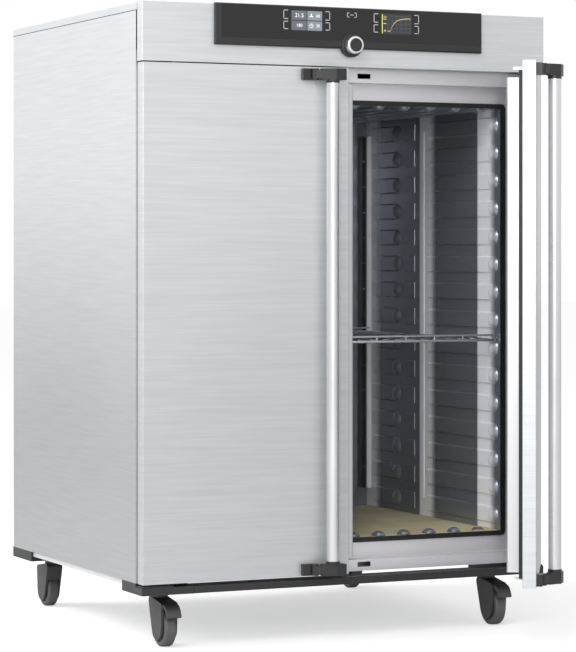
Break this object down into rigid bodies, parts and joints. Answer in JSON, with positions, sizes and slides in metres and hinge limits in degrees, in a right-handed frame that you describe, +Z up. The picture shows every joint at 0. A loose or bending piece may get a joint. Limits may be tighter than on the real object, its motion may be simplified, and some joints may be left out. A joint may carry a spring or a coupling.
{
  "type": "forced air oven",
  "caption": "Tall floor-standing forced air oven with two hinged doors, full-height bar handles, ribbed steel chamber, sliding grid shelf, control panel and swivel castors.",
  "frame": {"origin": "on the floor, under the middle of the box around the oven with its right door open", "axes": "+X to the right seen from the front, +Y to the back, +Z up"},
  "size_m": [1.2297, 1.5594, 1.729],
  "materials": {
    "body_steel": "fine textured stainless steel, matt",
    "frame_steel": "smooth satin stainless steel",
    "chamber_steel": "bright rolled stainless steel",
    "black_plastic": "fine grained black plastic",
    "castor_plastic": "dark grey plastic",
    "tyre": "grey solid tyre",
    "seal": "black silicone rubber",
    "panel_gloss": "glossy black touch panel",
    "screen": "lit colour display",
    "knob_metal": "turned aluminium ring with a black disc",
    "rail_steel": "pale anodised rail",
    "zinc_steel": "zinc plated steel",
    "hook_white": "white coated steel",
    "wool": "mineral wool board",
    "motor": "cast motor housing",
    "heater": "tubular heater, heat tinted",
    "shelf_steel": "electropolished wire",
    "board": "green circuit board"
  },
  "bodies": {
    "oven": {"air_baffle": "chamber_steel", "base_corner_blocks": "black_plastic", "base_front_bar": "black_plastic", "base_side_rails": "rail_steel", "bottom_pan": "zinc_steel", "chamber_back": "chamber_steel", "chamber_ceiling": "chamber_steel", "chamber_floor": "chamber_steel", "chamber_seal": "seal", "chamber_wall_left": "chamber_steel", "chamber_wall_right": "chamber_steel", "control_bezel": "black_plastic", "control_panel": "panel_gloss", "displays": "screen", "door_frame": "frame_steel", "electronics": "board", "exhaust_pipe": "chamber_steel", "fan_motor": "motor", "front_fascia": "body_steel", "heaters": "heater", "hinge_plates": "black_plastic", "insulation": "wool", "mains_inlet": "black_plastic", "rear_panel": "body_steel", "side_panel_left": "body_steel", "side_panel_right": "body_steel", "temperature_sensor": "chamber_steel", "top_cover": "body_steel"},
    "door_left": {"door_skin_left": "body_steel", "door_pan_left": "frame_steel", "door_seal_left": "seal", "door_insulation_left": "wool", "handle_mounts_left": "black_plastic", "astragal": "frame_steel"},
    "handle_left": {"handle_arms_left": "black_plastic", "handle_tube_left": "body_steel"},
    "latch_left": {"latch_hooks_left": "hook_white"},
    "door_right": {"door_skin_right": "body_steel", "door_pan_right": "frame_steel", "door_seal_right": "seal", "door_insulation_right": "wool", "handle_mounts_right": "black_plastic"},
    "handle_right": {"handle_arms_right": "black_plastic", "handle_tube_right": "body_steel"},
    "latch_right": {"latch_hooks_right": "hook_white"},
    "fan": {"fan_wheel": "zinc_steel"},
    "exhaust_flap": {"air_flap": "chamber_steel"},
    "knob_plunger": {"knob_shaft": "zinc_steel"},
    "knob": {"turn_knob": "knob_metal"},
    "shelf": {"grid_shelf": "shelf_steel"},
    "swivel_front_left": {"castor_fork_front_left": "castor_plastic"},
    "wheel_front_left": {"castor_wheel_front_left": "tyre"},
    "pedal_front_left": {"brake_pedal_front_left": "castor_plastic"},
    "swivel_front_right": {"castor_fork_front_right": "castor_plastic"},
    "wheel_front_right": {"castor_wheel_front_right": "tyre"},
    "pedal_front_right": {"brake_pedal_front_right": "castor_plastic"},
    "swivel_rear_left": {"castor_fork_rear_left": "castor_plastic"},
    "wheel_rear_left": {"castor_wheel_rear_left": "tyre"},
    "swivel_rear_right": {"castor_fork_rear_right": "castor_plastic"},
    "wheel_rear_right": {"castor_wheel_rear_right": "tyre"}
  },
  "joints": [
    {"name": "door_left_hinge", "type": "hinge", "parent": "oven", "child": "door_left", "pos_m": [-0.592, -0.26393, 0.9], "axis": [0, 0, -1], "range_deg": [0, 120]},
    {"name": "handle_left_pivot", "type": "hinge", "parent": "door_left", "child": "handle_left", "pos_m": [-0.115, -0.30093, 0.9], "axis": [0, 0, -1], "range_deg": [0, 25]},
    {"name": "latch_left_slide", "type": "slide", "parent": "door_left", "child": "latch_left", "axis": [1, 0, 0], "range_m": [0, 0.008]},
    {"name": "door_right_hinge", "type": "hinge", "parent": "oven", "child": "door_right", "pos_m": [0.592, -0.26393, 0.9], "axis": [0, 0, 1], "range_deg": [-58.4, 61.6]},
    {"name": "handle_right_pivot", "type": "hinge", "parent": "door_right", "child": "handle_right", "pos_m": [0.33899, -0.7458, 0.9], "axis": [0, 0, -1], "range_deg": [-11, 14]},
    {"name": "latch_right_slide", "type": "slide", "parent": "door_right", "child": "latch_right", "axis": [0.524, 0.8517, 0], "range_m": [-0.00352, 0.00448]},
    {"name": "fan_spin", "type": "hinge", "parent": "oven", "child": "fan", "pos_m": [0, 0.69257, 0.869], "axis": [0, 1, 0], "continuous": true},
    {"name": "exhaust_flap_turn", "type": "hinge", "parent": "oven", "child": "exhaust_flap", "pos_m": [0.38, 0.72607, 1.4], "axis": [0, 0, 1], "range_deg": [0, 90]},
    {"name": "knob_push", "type": "slide", "parent": "oven", "child": "knob_plunger", "axis": [0, 1, 0], "range_m": [0, 0.002], "stiffness_N_per_m": 1500, "springref_m": -0.001},
    {"name": "knob_turn", "type": "hinge", "parent": "knob_plunger", "child": "knob", "pos_m": [0, -0.30993, 1.626], "axis": [0, -1, 0], "continuous": true},
    {"name": "shelf_slide", "type": "slide", "parent": "oven", "child": "shelf", "axis": [0, -1, 0], "range_m": [0, 0.018]},
    {"name": "swivel_front_left", "type": "hinge", "parent": "oven", "child": "swivel_front_left", "pos_m": [-0.506, -0.14693, 0.152], "axis": [0, 0, 1], "continuous": true},
    {"name": "wheel_front_left", "type": "hinge", "parent": "swivel_front_left", "child": "wheel_front_left", "pos_m": [-0.506, -0.17993, 0.05], "axis": [1, 0, 0], "continuous": true},
    {"name": "pedal_front_left", "type": "hinge", "parent": "swivel_front_left", "child": "pedal_front_left", "pos_m": [-0.506, -0.20793, 0.112], "axis": [1, 0, 0], "range_deg": [0, 12]},
    {"name": "swivel_front_right", "type": "hinge", "parent": "oven", "child": "swivel_front_right", "pos_m": [0.506, -0.14693, 0.152], "axis": [0, 0, 1], "continuous": true},
    {"name": "wheel_front_right", "type": "hinge", "parent": "swivel_front_right", "child": "wheel_front_right", "pos_m": [0.506, -0.17993, 0.05], "axis": [1, 0, 0], "continuous": true},
    {"name": "pedal_front_right", "type": "hinge", "parent": "swivel_front_right", "child": "pedal_front_right", "pos_m": [0.506, -0.20793, 0.112], "axis": [1, 0, 0], "range_deg": [0, 12]},
    {"name": "swivel_rear_left", "type": "hinge", "parent": "oven", "child": "swivel_rear_left", "pos_m": [-0.506, 0.70107, 0.152], "axis": [0, 0, 1], "continuous": true},
    {"name": "wheel_rear_left", "type": "hinge", "parent": "swivel_rear_left", "child": "wheel_rear_left", "pos_m": [-0.506, 0.73407, 0.05], "axis": [1, 0, 0], "continuous": true},
    {"name": "swivel_rear_right", "type": "hinge", "parent": "oven", "child": "swivel_rear_right", "pos_m": [0.506, 0.70107, 0.152], "axis": [0, 0, 1], "continuous": true},
    {"name": "wheel_rear_right", "type": "hinge", "parent": "swivel_rear_right", "child": "wheel_rear_right", "pos_m": [0.506, 0.73407, 0.05], "axis": [1, 0, 0], "continuous": true}
  ],
  "couplings": [
    {"joint": "latch_left_slide", "follows": "handle_left_pivot", "m_per_rad": 0.018335},
    {"joint": "latch_right_slide", "follows": "handle_right_pivot", "m_per_rad": 0.018335}
  ]
}
